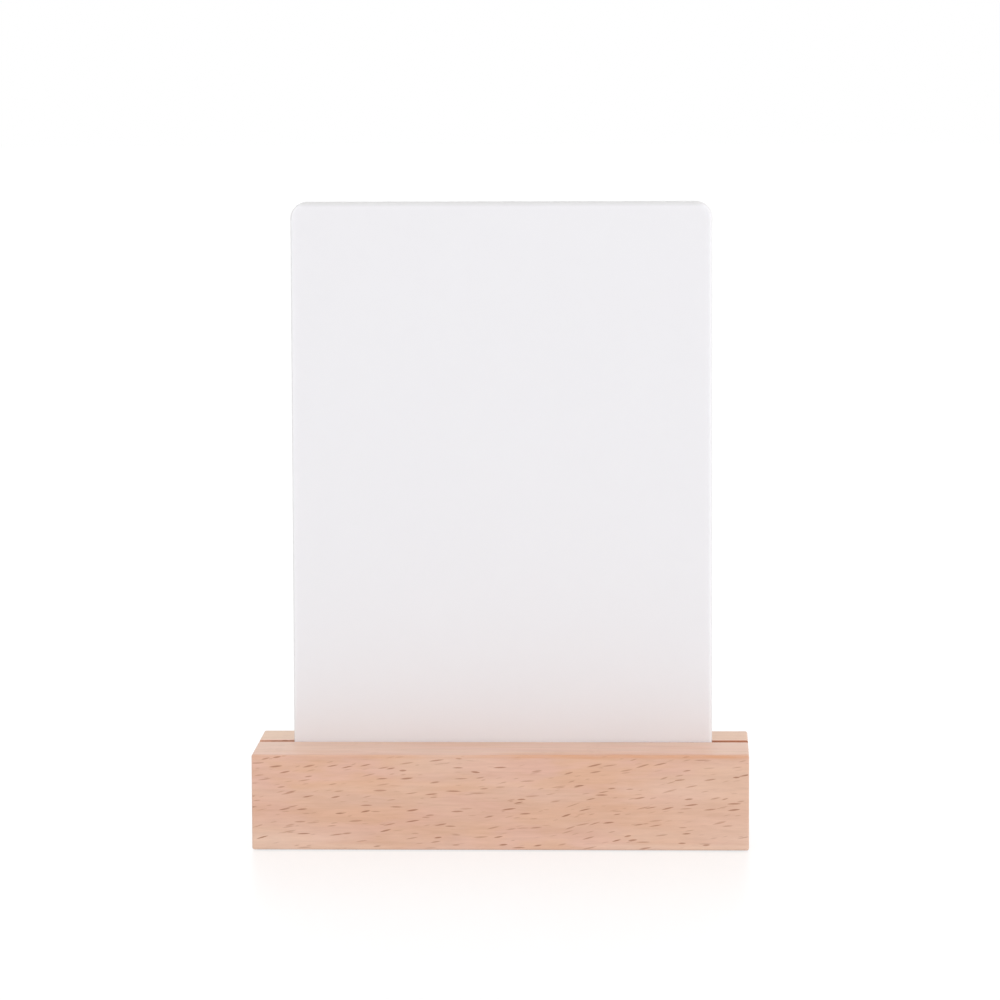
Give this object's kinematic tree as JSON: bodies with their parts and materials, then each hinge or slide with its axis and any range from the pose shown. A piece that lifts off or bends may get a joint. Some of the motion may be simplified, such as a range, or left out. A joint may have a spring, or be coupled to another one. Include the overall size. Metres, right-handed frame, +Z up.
{
  "type": "acrylic night light",
  "caption": "Table night light: an upright milky acrylic panel in the groove of a beech block that holds a row of LEDs, a power socket and a push button at the back.",
  "frame": {"origin": "on the table under the middle of the wooden block", "axes": "+Z up, the front of the lamp faces -Y, and +X is to the right as seen from the front"},
  "size_m": [0.15, 0.05, 0.1946],
  "materials": {
    "beech": "fine sanded beech with a clear matt oil, short dark flecks on the front",
    "opal_acrylic": "milky translucent acrylic, satin faces and eased edges",
    "white_plastic": "moulded, fine matt texture",
    "black_plastic": "moulded, semi-matt",
    "clear_rubber": "soft, frosted",
    "screw_steel": "zinc plated",
    "socket_steel": "bright nickel plated",
    "white_board": "white solder mask",
    "green_board": "green solder mask",
    "led": "phosphor gel in a white frame",
    "ceramic": "fired, semi-matt",
    "lead_red": "PVC insulation",
    "lead_black": "PVC insulation"
  },
  "bodies": {
    "base": {"base_block": "beech", "foot_front_left": "clear_rubber", "foot_front_right": "clear_rubber", "foot_rear_left": "clear_rubber", "foot_rear_right": "clear_rubber", "bottom_cover": "white_plastic", "cover_screw_1": "screw_steel", "cover_screw_2": "screw_steel", "cover_screw_3": "screw_steel", "cover_screw_4": "screw_steel", "led_board": "white_board", "led_01": "led", "led_02": "led", "led_03": "led", "led_04": "led", "led_05": "led", "led_06": "led", "led_07": "led", "led_08": "led", "led_09": "led", "led_10": "led", "led_11": "led", "led_12": "led", "led_resistor_1": "black_plastic", "led_resistor_2": "black_plastic", "led_resistor_3": "black_plastic", "led_resistor_4": "black_plastic", "rear_plate": "white_plastic", "plate_screw_1": "screw_steel", "plate_screw_2": "screw_steel", "control_board": "green_board", "board_screw_1": "screw_steel", "board_screw_2": "screw_steel", "socket_shell": "socket_steel", "socket_tongue": "black_plastic", "switch_housing": "black_plastic", "switch_lid": "socket_steel", "switch_spring": "screw_steel", "driver_chip": "black_plastic", "input_capacitor": "ceramic", "lead_red": "lead_red", "lead_black": "lead_black"},
    "panel": {"light_panel": "opal_acrylic"},
    "button": {"switch_plunger": "white_plastic", "button_cap": "white_plastic"}
  },
  "joints": [
    {"name": "panel_lift", "type": "slide", "parent": "base", "child": "panel", "axis": [0, 0, 1], "range_m": [0, 0.03]},
    {"name": "button_press", "type": "slide", "parent": "base", "child": "button", "axis": [0, -1, 0], "range_m": [0, 0.0015], "stiffness_N_per_m": 800, "springref_m": -0.001, "deforming": ["switch_spring"]}
  ]
}
